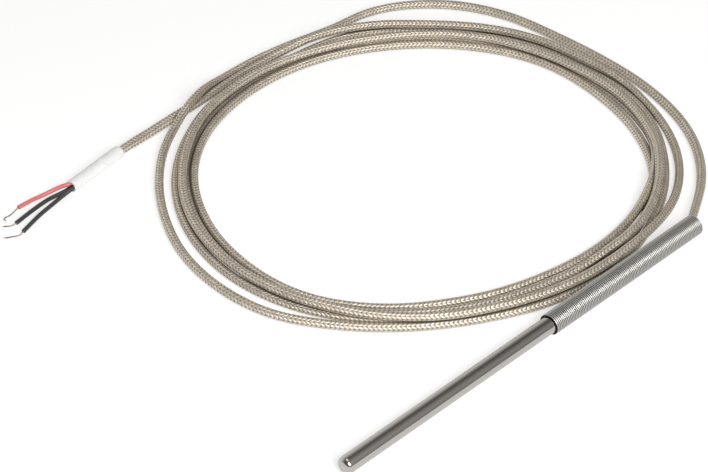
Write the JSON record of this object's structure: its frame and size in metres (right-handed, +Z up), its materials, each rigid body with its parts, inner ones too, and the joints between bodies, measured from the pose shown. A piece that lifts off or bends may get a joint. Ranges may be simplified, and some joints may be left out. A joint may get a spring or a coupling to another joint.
{
  "type": "rtd temperature probe",
  "caption": "Straight metal probe sheath with a rounded closed tip, a wire spring strain relief, and a coiled metal-braided cable ending in a white sleeve and bare-ended leads.",
  "frame": {"origin": "centre of the probe body in plan, on the surface it lies on (the cable left out)", "axes": "+X along the sheath from its closed tip towards the cable, +Z up from the surface it lies on, the coiled cable towards +Y"},
  "size_m": [0.248, 0.2022, 0.0083],
  "materials": {
    "sheath_steel": "bright drawn",
    "spring_steel": "drawn wire",
    "cable_braid": "flat-wire braid",
    "white_sleeve": "satin",
    "red_insulation": "satin",
    "black_insulation": "satin",
    "bare_strand": "drawn",
    "element_ceramic": "fired",
    "potting": "cast",
    "seal_epoxy": "cast",
    "element_lead": "drawn",
    "splice_metal": "drawn"
  },
  "bodies": {
    "root": {"sheath_tube": "sheath_steel", "strain_relief_spring": "spring_steel", "cable_in_spring": "cable_braid", "cord_first_loop": "cable_braid", "cord_coil": "cable_braid", "cord_tail": "cable_braid", "end_sleeve": "white_sleeve", "lead_red": "red_insulation", "lead_black_1": "black_insulation", "lead_black_2": "black_insulation", "bare_end_red": "bare_strand", "bare_end_black_1": "bare_strand", "bare_end_black_2": "bare_strand", "sensing_element": "element_ceramic", "tip_potting": "potting", "element_lead_a": "element_lead", "element_lead_b": "element_lead", "splice_red": "splice_metal", "splice_black": "splice_metal", "inner_wire_red": "red_insulation", "inner_wire_black_1": "black_insulation", "inner_wire_black_2": "black_insulation", "end_seal": "seal_epoxy"}
  },
  "joints": []
}
